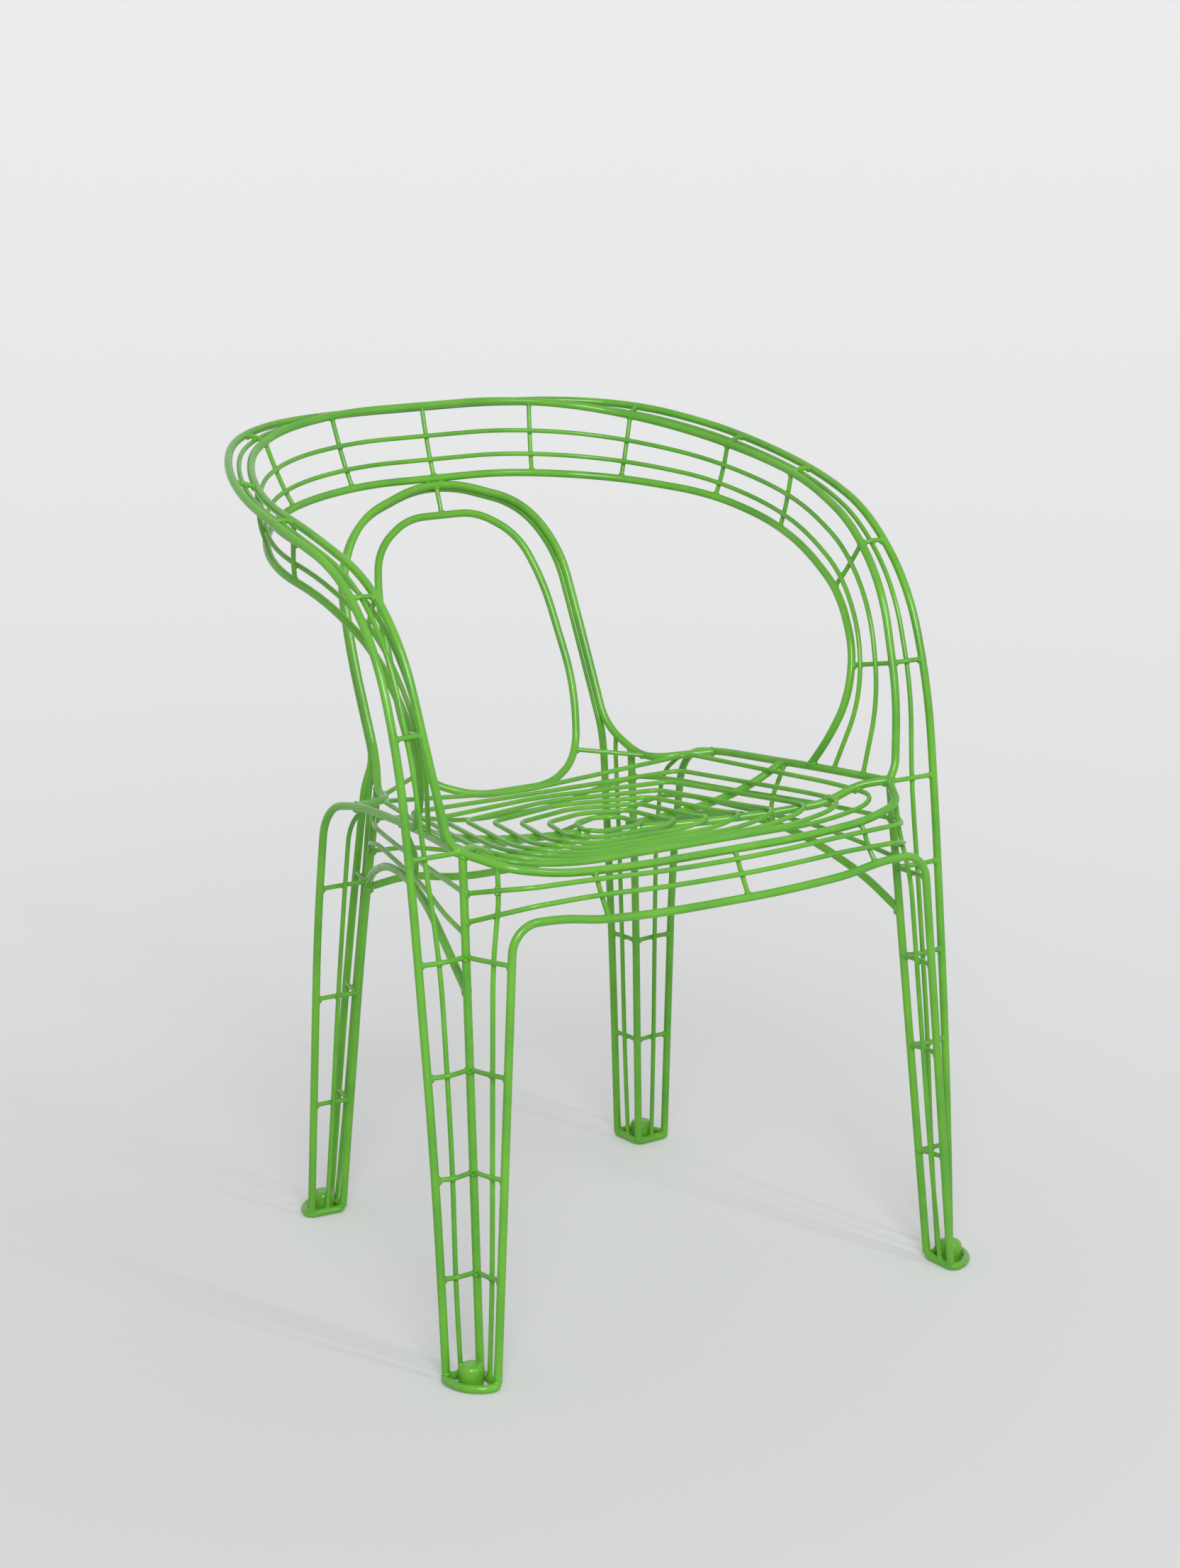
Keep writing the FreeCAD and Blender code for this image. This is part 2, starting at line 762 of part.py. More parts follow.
def main():
    os.makedirs("parts", exist_ok=True)
    nodes = {}
    nodes["arm_outer_rail"] = bar(outer_wire, rod_diameter)
    nodes["ridge_rail"] = bar(ridge_wire, rod_diameter)
    nodes["back_lower_rail"] = bar(lower_wire, rod_diameter)
    nodes["arm_mid_wire"] = bar(mid_wire, wire_diameter)
    nodes["back_face_wire_upper"] = bar(upper_face_wire, wire_diameter)
    nodes["back_face_wire_lower"] = bar(lower_face_wire, wire_diameter)
    nodes["band_rungs"] = Part.Compound(band_rungs() + seat_level_rungs())
    nodes["front_rim"] = bar(front_rim_wire, rod_diameter)
    nodes["front_apron_rod"] = bar(apron_wire, rod_diameter)
    nodes["splat_front_rod"] = bar(splat_front_wire, rod_diameter)
    nodes["splat_rear_rod"] = bar(splat_rear_wire, rod_diameter)
    nodes["splat_inner_loop"] = closed_bar(loop_half(), rod_diameter)
    for name, side in (("left", -1), ("right", 1)):
        nodes["front_corner_rod_" + name] = bar(corner_rod_wires[side], rod_diameter)
        nodes["front_inner_wire_" + name] = bar(front_inner_wires[side], wire_diameter)
        nodes["front_leg_rungs_" + name] = front_leg_rungs(side)
        nodes["side_rim_" + name] = bar(side_rim_wires[side], rod_diameter)
        nodes["rear_corner_rod_" + name] = bar(rear_corner_wires[side], rod_diameter)
        nodes["rear_outer_wire_" + name] = bar(rear_outer_wires[side], wire_diameter)
        nodes["rear_inner_wire_" + name] = bar(rear_inner_wires[side], wire_diameter)
        nodes["rear_leg_rungs_" + name] = rear_leg_rungs(side)
        front_feet = on_side([corner_foot, outer_foot, apron_foot], side)
        rear_feet = on_side([rear_corner_foot, rear_outer_foot, rear_apron_foot], side)
        nodes["front_foot_ring_" + name] = foot_ring(*front_feet)
        nodes["rear_foot_ring_" + name] = foot_ring(*rear_feet)
        nodes["front_foot_plug_" + name] = foot_plug(*front_feet)
        nodes["rear_foot_plug_" + name] = foot_plug(*rear_feet)
        nodes["seat_diagonal_rib_" + name] = diagonal_rib(side)
        nodes["seat_side_rib_" + name] = side_rib(side)
        nodes["side_apron_rod_" + name] = bar(side_rod_wires[side], rod_diameter)
        thin = [side_upper_wires[side], side_lower_wires[side]]
        nodes["side_apron_wires_" + name] = Part.Compound([bar(wire, wire_diameter) for wire in thin])
    for number in range(1, ring_count + 1):
        nodes["seat_ring_%d" % number] = seat_ring(number)
    nodes["front_apron_wire_upper"] = bar(upper_apron_wire, wire_diameter)
    nodes["front_apron_wire_lower"] = bar(lower_apron_wire, wire_diameter)
    nodes["front_apron_ribs"] = front_apron_ribs()
    nodes["side_apron_ribs"] = Part.Compound([side_apron_rib(-1), side_apron_rib(1)])
    nodes["splat_links"] = splat_links()
    nodes["rear_apron_rod"] = bar(rear_apron(124, rear_rod_half, rod_weld_bite), rod_diameter)
    rear_upper = rear_apron(56, rear_upper_half, wire_weld_bite)
    rear_lower = rear_apron(88, rear_lower_half, wire_weld_bite)
    rear_thin = [bar(rear_upper, wire_diameter), bar(rear_lower, wire_diameter)]
    nodes["rear_apron_wires"] = Part.Compound(rear_thin)
    front = nodes["front_foot_ring_left"].optimalBoundingBox(False, False).YMin
    back = nodes["arm_outer_rail"].optimalBoundingBox(False, False).YMax
    to_middle = Vector(0, -(front + back) / 2, 0)
    print("moved by %.3f in Y" % to_middle.y)
    for name, shape in nodes.items():
        shape.translate(to_middle)
        print(name, len(shape.Solids), shape.isValid(), round(shape.Volume))
        shape.exportStep("parts/%s.step" % name)


main()
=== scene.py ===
# %% [markdown]
# # A wire mesh armchair in gloss green powder coat
#
# The real chair is welded by hand from round steel rod and thinner round wire, and then sprayed
# with one coat of green powder that is baked until it flows into a hard glossy skin.
# The imported model already holds every rod and wire in its true place, so this script keeps those
# solids as they are. It adds what a plain tube lacks: the lumps of weld metal at the joints, the
# skin of the paint, the moulded plastic of the plugs in the feet, and a pale studio with a camera.

import bpy
import numpy as np
from mathutils.bvhtree import BVHTree
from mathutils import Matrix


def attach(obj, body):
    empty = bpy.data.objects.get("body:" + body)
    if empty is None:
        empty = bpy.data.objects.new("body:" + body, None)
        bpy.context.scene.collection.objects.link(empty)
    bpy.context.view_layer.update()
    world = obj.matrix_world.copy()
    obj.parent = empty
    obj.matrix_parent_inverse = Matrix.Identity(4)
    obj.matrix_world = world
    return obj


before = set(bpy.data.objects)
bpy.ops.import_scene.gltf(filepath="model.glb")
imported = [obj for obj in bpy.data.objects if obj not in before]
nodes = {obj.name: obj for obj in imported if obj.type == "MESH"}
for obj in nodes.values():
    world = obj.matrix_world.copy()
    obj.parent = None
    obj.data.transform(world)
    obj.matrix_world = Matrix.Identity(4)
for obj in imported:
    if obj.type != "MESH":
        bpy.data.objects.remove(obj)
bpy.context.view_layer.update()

# %% [markdown]
# ## Sizes and units
#
# Blender works in metres, but a welder thinks in millimetres, so sizes are written in millimetres
# and turned with one constant. Pattern sizes are given the same way: a noise whose grains are
# 2 mm wide needs a scale of 500 grains to the metre.

# %% Sizes of the stock
MM = 0.001
rod_radius = 3.7 * MM
wire_radius = 2.2 * MM


def grains_per_metre(grain_mm):
    """Noise scale for grains of this size: a thousand millimetres over the grain's own."""
    return 1000.0 / grain_mm


# %% [markdown]
# ## Colours
#
# Paint makers and photo editors give colours as sRGB hex values, but Blender's shaders work in
# linear light. One function undoes the sRGB curve, so that a colour in a render with the Standard
# view comes out as it was written here.

# %% Turn an sRGB hex value to linear light
def linear(hex_code):
    """Each channel c in 0..1 becomes ((c + 0.055) / 1.055) ** 2.4, or c / 12.92 where small."""
    channels = np.array([int(hex_code[i : i + 2], 16) for i in (1, 3, 5)]) / 255.0
    curved = ((channels + 0.055) / 1.055) ** 2.4
    straight = channels / 12.92
    return [*np.where(channels > 0.04045, curved, straight).tolist(), 1.0]


print("mid green in linear light:", [round(c, 3) for c in linear("#66AA44")])


# %% [markdown]
# ## One helper for shader nodes
#
# A material is a small graph. Writing it by hand takes three steps for every node: make it, set
# it, link it. This helper does the three at once, and every material below is built with it.
# A value in `inputs` that is itself a socket is linked, and anything else is typed in.

# %% Add one shader node with its settings and links
def add_node(tree, kind, inputs=None, **settings):
    made = tree.nodes.new(kind)
    for name, value in settings.items():
        setattr(made, name, value)
    for name, value in (inputs or {}).items():
        if isinstance(value, bpy.types.NodeSocket):
            tree.links.new(value, made.inputs[name])
        else:
            made.inputs[name].default_value = value
    return made


def new_material(name):
    material = bpy.data.materials.new(name)
    material.use_nodes = True
    material.node_tree.nodes.clear()
    return material, material.node_tree


# %% [markdown]
# ## Gloss green powder coat
# The small yellower patches are partly thin coat and partly painted reflection: they stand in for
# the yellow-olive tint that the pale floor's reflection puts on edges and bends.
#
# Powder coat is a thermoset polyester. It melts in the oven and flows, but never quite flat: it
# keeps a soft ripple of one or two millimetres that painters call orange peel, which breaks a long
# highlight into a shimmer. The colour also drifts a little, because the powder lies thicker in
# corners and thinner where it was sprayed from one side. Thin coat shows a yellower green.
# So the colour is a slow noise between a leaf green and a deeper one, with small yellower patches,
# the bump is a fine noise, and the index of refraction is that of polyester, about 1.5.
# The ripple is drawn at 2.4 mm, a little coarser than the real one, so that it shows in a render.

# %% Make the powder coat
coat_green = linear("#69B62E")
# Yellower green for the small patches: partly thin coat, partly painted reflection of the pale
# floor.
coat_thin_and_reflection_tint = linear("#86B22E")
coat_thick = linear("#52A02B")
coat_drift_mm = 55
drift_low, drift_high = 0.35, 0.65
most_deep = 0.75
coat_patch_mm = 9
patch_low, patch_high = 0.52, 0.75
most_thin_and_reflection_tint = 0.35
coat_roughness = 0.18
wetter, duller = 0.05, 0.08
coat_ior = 1.5
orange_peel_mm = 2.4
orange_peel_height = 0.02 * MM


def powder_coat(name, ripple_mm, ripple_height, deep, roughness):
    """Slow drift of colour, small yellower patches of thin coat and painted reflection, and a
    ripple that bends the light.
    """
    material, tree = new_material(name)
    place = add_node(tree, "ShaderNodeTexCoord").outputs["Object"]
    drift = add_node(
        tree,
        "ShaderNodeTexNoise",
        {"Vector": place, "Scale": grains_per_metre(coat_drift_mm), "Detail": 2.0},
    )
    patch = add_node(
        tree,
        "ShaderNodeTexNoise",
        {"Vector": place, "Scale": grains_per_metre(coat_patch_mm), "Detail": 3.0},
    )
    slow = add_node(
        tree,
        "ShaderNodeMapRange",
        {
            "Value": drift.outputs["Fac"],
            "From Min": drift_low,
            "From Max": drift_high,
            "To Max": most_deep,
        },
    )
    small = add_node(
        tree,
        "ShaderNodeMapRange",
        {
            "Value": patch.outputs["Fac"],
            "From Min": patch_low,
            "From Max": patch_high,
            "To Max": most_thin_and_reflection_tint,
        },
    )
    drifted = add_node(
        tree,
        "ShaderNodeMix",
        {"Factor": slow.outputs["Result"], "A": coat_green, "B": deep},
        data_type="RGBA",
    )
    # Small patches of yellower green, partly painted reflection of the pale floor.
    patched = add_node(
        tree,
        "ShaderNodeMix",
        {"Factor": small.outputs["Result"], "A": drifted.outputs["Result"], "B": coat_thin_and_reflection_tint},
        data_type="RGBA",
    )
    ripple = add_node(
        tree,
        "ShaderNodeTexNoise",
        {"Vector": place, "Scale": grains_per_metre(ripple_mm), "Detail": 1.0},
    )
    bump = add_node(
        tree,
        "ShaderNodeBump",
        {"Height": ripple.outputs["Fac"], "Distance": ripple_height, "Strength": 1.0},
    )
    gloss = add_node(
        tree,
        "ShaderNodeMapRange",
        {
            "Value": patch.outputs["Fac"],
            "To Min": roughness - wetter,
            "To Max": roughness + duller,
        },
    )
    shader = add_node(
        tree,
        "ShaderNodeBsdfPrincipled",
        {
            "Base Color": patched.outputs["Result"],
            "Roughness": gloss.outputs["Result"],
            "IOR": coat_ior,
            "Normal": bump.outputs["Normal"],
        },
    )
    add_node(tree, "ShaderNodeOutputMaterial", {"Surface": shader.outputs["BSDF"]})
    return material


tube_coat = powder_coat(
    "gloss_green_powder_coat", orange_peel_mm, orange_peel_height, coat_thick, coat_roughness
)

# %% [markdown]
# ## Powder coat over weld metal
#
# At a weld the same powder covers metal that froze in small ripples, so the skin is lumpier.
# Powder also gathers there, which makes the gloss wetter. The green is a little deeper there,
# partly from the thicker powder and partly as painted shade for the crease where two wires meet.
# The same function makes it, with a coarser and taller ripple and a lower roughness.

# %% Make the coat for the welds
weld_ripple_mm = 3.2
weld_ripple_height = 0.12 * MM
# Deeper green on the welds: partly thicker powder, partly painted shade in the crease where two
# wires meet.
weld_green_with_crease_shade = linear("#52A22B")
weld_roughness = 0.1
weld_coat = powder_coat(
    "gloss_powder_coat_over_welds", weld_ripple_mm, weld_ripple_height, weld_green_with_crease_shade, weld_roughness
)


# %% [markdown]
# ## Moulded plug
#
# Each foot has a moulded plug that takes the wear of the floor. It is coloured through and comes
# from a polished mould, so it is nearly as glossy as the paint: a roughness of about 0.2, with
# grains well under a millimetre that are drawn here at 1.2 mm so that they show. The last
# millimetres over the floor are painted a darker green, broken up by a noise: this is painted
# shade where the plug meets the floor.

# %% Make the plug's plastic
plug_green = linear("#66B02E")
# Darker green for the last millimetres over the floor: painted shade where the plug meets the
# floor.
plug_shade_green = linear("#4A7D35")
mould_grain_mm = 1.2
mould_grain_height = 0.015 * MM
smear_mm = 7
floor_shade_height = 3.0 * MM
most_floor_shade = 0.9
plug_wettest, plug_dullest = 0.12, 0.3
polypropylene_ior = 1.49


def moulded_plastic(name):
    material, tree = new_material(name)
    place = add_node(tree, "ShaderNodeTexCoord").outputs["Object"]
    split = add_node(tree, "ShaderNodeSeparateXYZ", {"Vector": place})
    grain = add_node(
        tree,
        "ShaderNodeTexNoise",
        {"Vector": place, "Scale": grains_per_metre(mould_grain_mm), "Detail": 2.0},
    )
    smear = add_node(
        tree,
        "ShaderNodeTexNoise",
        {"Vector": place, "Scale": grains_per_metre(smear_mm), "Detail": 4.0},
    )
    # Painted shade: strongest at the floor, gone 3 mm up, broken up by the smear noise.
    low = add_node(
        tree,
        "ShaderNodeMapRange",
        {
            "Value": split.outputs["Z"],
            "From Min": 0.0,
            "From Max": floor_shade_height,
            "To Min": most_floor_shade,
            "To Max": 0.0,
        },
    )
    painted_floor_shade = add_node(
        tree,
        "ShaderNodeMath",
        {0: low.outputs["Result"], 1: smear.outputs["Fac"]},
        operation="MULTIPLY",
    )
    colour = add_node(
        tree,
        "ShaderNodeMix",
        {"Factor": painted_floor_shade.outputs["Value"], "A": plug_green, "B": plug_shade_green},
        data_type="RGBA",
    )
    gloss = add_node(
        tree,
        "ShaderNodeMapRange",
        {"Value": smear.outputs["Fac"], "To Min": plug_wettest, "To Max": plug_dullest},
    )
    bump = add_node(
        tree,
        "ShaderNodeBump",
        {"Height": grain.outputs["Fac"], "Distance": mould_grain_height, "Strength": 1.0},
    )
    shader = add_node(
        tree,
        "ShaderNodeBsdfPrincipled",
        {
            "Base Color": colour.outputs["Result"],
            "Roughness": gloss.outputs["Result"],
            "IOR": polypropylene_ior,
            "Normal": bump.outputs["Normal"],
        },
    )
    add_node(tree, "ShaderNodeOutputMaterial", {"Surface": shader.outputs["BSDF"]})
    return material


plug_plastic = moulded_plastic("moulded_green_polypropylene")

# %% [markdown]
# ## Paint the rods, wires and plugs
#
# The solids keep their shapes and only change their finish, by putting the new material in each
# object's first slot. Their names say what they are, so a plug is told from a rod by its name.

# %% Give every node its finish
for name, piece in nodes.items():
    piece.data.materials.clear()
    piece.data.materials.append(plug_plastic if "plug" in name else tube_coat)
plugs = sum("plug" in name for name in nodes)
print("plugs:", plugs, "other nodes:", len(nodes) - plugs)


# %% [markdown]
# ## Where the joints are
#
# A weld sits exactly where the skin of one wire goes into the skin of another. That line could be
# typed in for each of the three hundred joints, or picked by hand in the viewport. Here it is
# worked out instead: a BVH tree finds the pairs of triangles that touch, and each triangle's edges
# are cut with the other triangle. All pairs of two tubes are cut at once as numpy arrays.

# %% Cut the edges of one set of triangles with another
nearly_parallel = 1e-12


def edge_hits(edged, flat):
    """An edge p + t d meets the plane of a triangle v + a e1 + b e2 where t, a and b solve
    p - v = a e1 + b e2 - t d. The hit counts if t, a, b and 1 - a - b are all from 0 to 1."""
    start = edged.reshape(-1, 3)
    run = np.roll(edged, -1, axis=1).reshape(-1, 3) - start
    corner, first, second = (np.repeat(flat[:, i], 3, axis=0) for i in range(3))
    e1, e2 = first - corner, second - corner
    across = np.cross(run, e2)
    scale = np.einsum("ij,ij->i", e1, across)
    safe = np.where(np.abs(scale) < nearly_parallel, np.nan, scale)
    reach = start - corner
    turned = np.cross(reach, e1)
    a = np.einsum("ij,ij->i", reach, across) / safe
    b = np.einsum("ij,ij->i", run, turned) / safe
    t = np.einsum("ij,ij->i", e2, turned) / safe
    with np.errstate(invalid="ignore"):
        inside = (a >= 0) & (b >= 0) & (a + b <= 1) & (t >= 0) & (t <= 1)
    return (start + run * t[:, None])[inside]


# %% Read each tube's triangles from the frame
def triangles_of(mesh):
    mesh.calc_loop_triangles()
    places = np.empty(len(mesh.vertices) * 3, np.float32)
    mesh.vertices.foreach_get("co", places)
    corners = np.empty(len(mesh.loop_triangles) * 3, np.int32)
    mesh.loop_triangles.foreach_get("vertices", corners)
    return places.reshape(-1, 3).astype(float), corners.reshape(-1, 3)


tubes = {}
for name, piece in nodes.items():
    if "plug" not in name:
        places, corners = triangles_of(piece.data)
        tree = BVHTree.FromPolygons(places.tolist(), corners.tolist())
        tubes[name] = (places[corners], tree, places.min(0), places.max(0))
print("tubes:", len(tubes), "triangles:", sum(len(t[0]) for t in tubes.values()))


# %% Find the lines where one tube goes into another
def boxes_touch(one, other):
    return np.all(one[2] <= other[3]) and np.all(other[2] <= one[3])


def joint_points(one, other):
    pairs = np.array(one[1].overlap(other[1]), int).reshape(-1, 2)
    first, second = one[0][pairs[:, 0]], other[0][pairs[:, 1]]
    return np.concatenate([edge_hits(first, second), edge_hits(second, first)])


def clusters(points, apart):
    """Split points into groups: a group grows while another point is nearer to it than apart."""
    groups = []
    left = points
    while len(left):
        member = np.zeros(len(left), bool)
        member[0] = True
        grown = 0
        while grown != member.sum():
            grown = member.sum()
            gaps = np.linalg.norm(left[:, None] - left[member][None], axis=2).min(1)
            member = gaps < apart
        groups.append(left[member])
        left = left[~member]
    return groups


fewest_points = 12
apart = 2.2 * MM
names = sorted(tubes)
joints = []
for index, name in enumerate(names):
    for other in names[index + 1 :]:
        if boxes_touch(tubes[name], tubes[other]):
            found = joint_points(tubes[name], tubes[other])
            joints += [g for g in clusters(found, apart) if len(g) >= fewest_points]
print("joints:", len(joints))

# %% [markdown]
# ## The shape of a weld
#
# A weld on wire this thin is a small ring of metal round the line where the two skins meet. It is
# built as a bent ring: the line is read as a radius and a height over its own best plane, at a few
# even angles, and a small round profile is carried along it. The profile's size differs from joint
# to joint as a welder's does, and it swells on the lower side, where the melt sagged before it
# froze and left a small web under the joint. There are some three hundred, so each has only a few
# dozen faces.

# %% Carry a round profile along the line of each joint
steps_round = 12
steps_over = 5
wire_bead = 1.2 * MM
rod_bead = 1.8 * MM
web_share = 0.9
bead_spread = 0.15
lump_spread = 0.1
welder = np.random.default_rng(7)


def weld_loop(points):
    """Height and radius over the best plane through the points, read at even angles."""
    centre = points.mean(0)
    axes = np.linalg.svd(points - centre, full_matrices=False)[2]
    plane = np.stack([axes[0], axes[1], np.cross(axes[0], axes[1])])
    along, across, height = ((points - centre) @ plane.T).T
    angle = np.arctan2(across, along)
    order = np.argsort(angle)
    even = np.arange(steps_round) * 2 * np.pi / steps_round
    radius = np.interp(even, angle[order], np.hypot(along, across)[order], period=2 * np.pi)
    rise = np.interp(even, angle[order], height[order], period=2 * np.pi)
    local = np.stack([radius * np.cos(even), radius * np.sin(even), rise], axis=1)
    return centre, centre + local @ plane, plane[2], radius.mean()


def weld_bead(points):
    """Ring point = line point + r (cos u * outward + sin u * plane normal), u round the profile."""
    centre, line, normal, size = weld_loop(points)
    outward = line - centre
    outward /= np.linalg.norm(outward, axis=1)[:, None]
    share = np.clip((size - wire_radius) / (rod_radius - wire_radius), 0, 1)
    chance = welder.uniform(1 - bead_spread, 1 + bead_spread)
    bead = (wire_bead + (rod_bead - wire_bead) * share) * chance
    sag = 1 + web_share * np.clip(-outward[:, 2], 0, 1) ** 2
    lumps = welder.uniform(1 - lump_spread, 1 + lump_spread, steps_round)
    over = np.arange(steps_over) * 2 * np.pi / steps_over
    reach = (bead * sag * lumps)[:, None, None]
    round_it = np.cos(over)[None, :, None] * outward[:, None] + np.sin(over)[None, :, None] * normal
    return line[:, None] + reach * round_it


beads = np.array([weld_bead(points) for points in joints])
bead_places = np.array([points.mean(0) for points in joints])
print("bead grid:", beads.shape)


# %% [markdown]
# ## From grids to meshes
#
# All beads have the same grid, so their faces are one pattern of indices with an offset for each
# bead. A grid that wraps both ways is a closed ring with no poles. Which way its faces point is
# settled once, by the sign of the volume that they enclose.

# %% Make one mesh of many rings
def ring_faces(count, around, over):
    """Quad (i, j), (i + 1, j), (i + 1, j + 1), (i, j + 1) on a grid that wraps both ways."""
    i, j = np.meshgrid(np.arange(around), np.arange(over), indexing="ij")
    right, up = (i + 1) % around, (j + 1) % over
    quads = np.stack([i * over + j, right * over + j, right * over + up, i * over + up], axis=-1)
    offsets = np.arange(count)[:, None, None] * around * over
    return (quads.reshape(1, -1, 4) + offsets).reshape(-1, 4)


def enclosed_volume(places, quads):
    """Sum of the signed tetrahedra from the origin over both triangles of each quad."""
    a, b, c, d = (places[quads[:, i]] for i in range(4))
    halves = np.einsum("ij,ij->i", a, np.cross(b, c)) + np.einsum("ij,ij->i", a, np.cross(c, d))
    return halves.sum() / 6


def mesh_object(name, places, quads, material):
    if enclosed_volume(places - places.mean(0), quads) < 0:
        quads = quads[:, ::-1]
    mesh = bpy.data.meshes.new(name)
    mesh.from_pydata(places.tolist(), [], quads.tolist())
    mesh.materials.append(material)
    mesh.polygons.foreach_set("use_smooth", np.ones(len(quads), bool))
    mesh.update()
    made = bpy.data.objects.new(name, mesh)
    bpy.context.scene.collection.objects.link(made)
    return made


# %% Place the welds in three groups
leg_top = 0.372
seat_top = 0.47
height = bead_places[:, 2]
groups = {
    "weld_beads_on_legs": height < leg_top,
    "weld_beads_on_seat": (height >= leg_top) & (height < seat_top),
    "weld_beads_on_back": height >= seat_top,
}
for name, chosen in groups.items():
    grid = beads[chosen]
    quads = ring_faces(len(grid), steps_round, steps_over)
    welds = mesh_object(name, grid.reshape(-1, 3), quads, weld_coat)
    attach(welds, "root")
    print(name, "welds:", len(grid), "faces:", len(quads))

# %% [markdown]
# ## Floor
#
# The photograph was taken on a seamless pale sweep, where floor and wall run into each other.
# A wall would hide the chair from behind, so here a very wide pale floor does both jobs: the
# camera looks down on it and meets its edge only in the top few rows of the picture, where the
# backdrop has nearly the same colour. It is matt paper with a faint tooth. The sweep gets paler
# behind the chair, where more light falls on the real one. The camera and mirror rays see that as
# a glow which grows with the distance r from a place in front of the chair. All other rays see
# plain paper, so no light is added to the chair.

# %% Lay the floor
floor_radius = 60.0
floor_segments = 96
floor_grey = linear("#CFD0D1")
floor_roughness = 0.75
paper_tooth_mm = 3
paper_tooth_height = 0.03 * MM
glow_middle = (-0.52, -0.85, 0.0)
glow_near = 0.08
glow_far = 0.5
glow_half_way = 2.0


def disc(radius, segments):
    """A rim of even angles, joined to one centre point by triangles."""
    angle = np.arange(segments) * 2 * np.pi / segments
    rim = np.stack([radius * np.cos(angle), radius * np.sin(angle), np.zeros(segments)], axis=1)
    places = np.concatenate([rim, [[0, 0, 0]]])
    here = np.arange(segments)
    return places, np.stack([here, (here + 1) % segments, np.full(segments, segments)], axis=1)


def seen_rays(tree):
    """One for camera, glossy and transmission rays, and zero for the rays that light things."""
    path = add_node(tree, "ShaderNodeLightPath")
    seen = add_node(
        tree,
        "ShaderNodeMath",
        {0: path.outputs["Is Camera Ray"], 1: path.outputs["Is Glossy Ray"]},
        operation="MAXIMUM",
    )
    seen_through = add_node(
        tree,
        "ShaderNodeMath",
        {0: seen.outputs["Value"], 1: path.outputs["Is Transmission Ray"]},
        operation="MAXIMUM",
    )
    return seen_through.outputs["Value"]


def glow(tree, place):
    """Strength = seen * (near + (far - near) * r^2 / (r^2 + h^2)), half way where r is h."""
    distance = add_node(
        tree, "ShaderNodeVectorMath", {0: place, 1: glow_middle}, operation="DISTANCE"
    )
    squared = add_node(
        tree, "ShaderNodeMath", {0: distance.outputs["Value"], 1: 2.0}, operation="POWER"
    )
    longer = add_node(
        tree,
        "ShaderNodeMath",
        {0: squared.outputs["Value"], 1: glow_half_way**2},
        operation="ADD",
    )
    share = add_node(
        tree,
        "ShaderNodeMath",
        {0: squared.outputs["Value"], 1: longer.outputs["Value"]},
        operation="DIVIDE",
    )
    strength = add_node(
        tree,
        "ShaderNodeMapRange",
        {"Value": share.outputs["Value"], "To Min": glow_near, "To Max": glow_far},
    )
    shown = add_node(
        tree,
        "ShaderNodeMath",
        {0: strength.outputs["Result"], 1: seen_rays(tree)},
        operation="MULTIPLY",
    )
    return shown.outputs["Value"]


def paper(name):
    material, tree = new_material(name)
    place = add_node(tree, "ShaderNodeTexCoord").outputs["Object"]
    tooth = add_node(
        tree,
        "ShaderNodeTexNoise",
        {"Vector": place, "Scale": grains_per_metre(paper_tooth_mm), "Detail": 2.0},
    )
    bump = add_node(
        tree,
        "ShaderNodeBump",
        {"Height": tooth.outputs["Fac"], "Distance": paper_tooth_height, "Strength": 0.5},
    )
    shader = add_node(
        tree,
        "ShaderNodeBsdfPrincipled",
        {
            "Base Color": floor_grey,
            "Roughness": floor_roughness,
            "Normal": bump.outputs["Normal"],
            "Emission Color": (1.0, 1.0, 1.0, 1.0),
            "Emission Strength": glow(tree, place),
        },
    )
    add_node(tree, "ShaderNodeOutputMaterial", {"Surface": shader.outputs["BSDF"]})
    return material


floor_places, floor_faces = disc(floor_radius, floor_segments)
floor_mesh = bpy.data.meshes.new("paper_floor")
floor_mesh.from_pydata(floor_places.tolist(), [], floor_faces.tolist())
floor_mesh.materials.append(paper("matt_pale_paper"))
floor = bpy.data.objects.new("paper_floor", floor_mesh)
bpy.context.scene.collection.objects.link(floor)

# %% [markdown]
# ## Light
#
# The light in the photograph is even and comes from everywhere, so the world itself is a lamp.
# Camera and mirror rays see the backdrop's colour instead, which keeps the picture's ground pale
# without more light on the chair. One large soft box high in front on the left gives the tubes a
# brighter side, and a narrow strip on the right gives the gloss its small sharp glints.

# %% Set the world
backdrop = linear("#EBECED")
sky_strength = 0.44

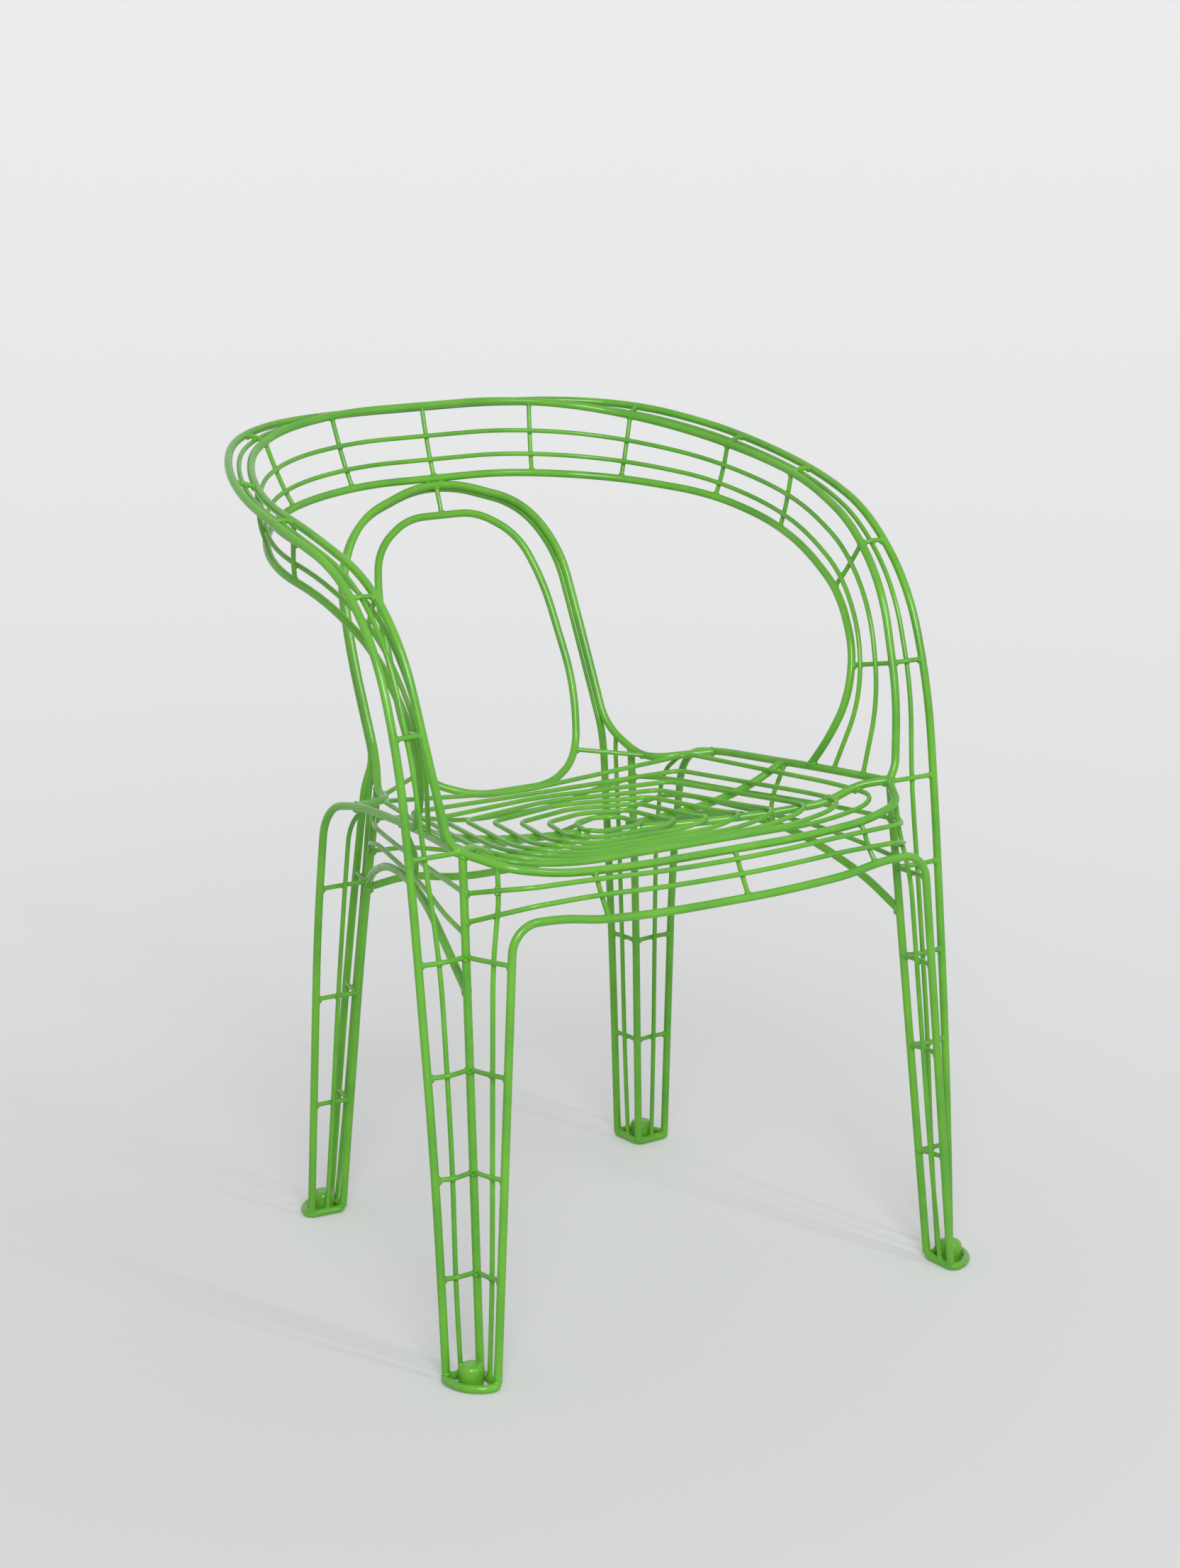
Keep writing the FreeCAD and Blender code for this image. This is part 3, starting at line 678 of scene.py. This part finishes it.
world = bpy.data.worlds.new("studio")
bpy.context.scene.world = world
world.use_nodes = True
world.node_tree.nodes.clear()
sky = add_node(
    world.node_tree, "ShaderNodeBackground", {"Color": (1, 1, 1, 1), "Strength": sky_strength}
)
ground = add_node(
    world.node_tree, "ShaderNodeBackground", {"Color": backdrop, "Strength": 1.0}
)
mixed = add_node(
    world.node_tree,
    "ShaderNodeMixShader",
    {0: seen_rays(world.node_tree), 1: sky.outputs["Background"], 2: ground.outputs["Background"]},
)
add_node(world.node_tree, "ShaderNodeOutputWorld", {"Surface": mixed.outputs["Shader"]})


# %% Hang the lamps
def lamp(name, place, target, width, height, power):
    """An area lamp whose -Z axis points at the target."""
    data = bpy.data.lights.new(name, "AREA")
    data.shape = "RECTANGLE"
    data.size, data.size_y = width, height
    data.energy = power
    made = bpy.data.objects.new(name, data)
    made.location = place
    aim = np.array(target) - np.array(place)
    azimuth = np.arctan2(aim[0], aim[1])
    tilt = np.arctan2(np.hypot(aim[0], aim[1]), -aim[2])
    made.rotation_euler = (tilt, 0, -azimuth)
    bpy.context.scene.collection.objects.link(made)


seat_middle = (0, 0, 0.45)
soft_box_place = (-1.5, -3.0, 2.6)
soft_box_width = 1.6
soft_box_watts = 89
glint_strip_place = (0.9, -2.6, 2.4)
glint_strip_width = 0.15
glint_strip_height = 0.8
glint_strip_watts = 12
lamp("soft_box", soft_box_place, seat_middle, soft_box_width, soft_box_width, soft_box_watts)
lamp(
    "glint_strip",
    glint_strip_place,
    seat_middle,
    glint_strip_width,
    glint_strip_height,
    glint_strip_watts,
)

# %% [markdown]
# ## Camera
#
# The camera's place was found by fitting known points of the chair to the photograph. It stands
# about three metres away, a little over the armrests, to the left of the chair's front. The focal
# length is written for the picture's height, because the picture is upright.

# %% Place the camera
picture_height_px = 2212
focal_px = 4569.9
sensor_height_mm = 36.0
camera_place = (-1.5202, -2.49919, 1.20265)
camera_turn_degrees = (75.35, 0, -31.77)

camera_data = bpy.data.cameras.new("camera")
camera_data.sensor_fit = "VERTICAL"
camera_data.sensor_height = sensor_height_mm
camera_data.lens = focal_px / picture_height_px * sensor_height_mm
camera = bpy.data.objects.new("camera", camera_data)
camera.location = camera_place
camera.rotation_euler = np.radians(camera_turn_degrees)
bpy.context.scene.collection.objects.link(camera)
bpy.context.scene.camera = camera
bpy.context.scene.view_settings.view_transform = "Standard"
print("lens: %.2f mm" % camera_data.lens)
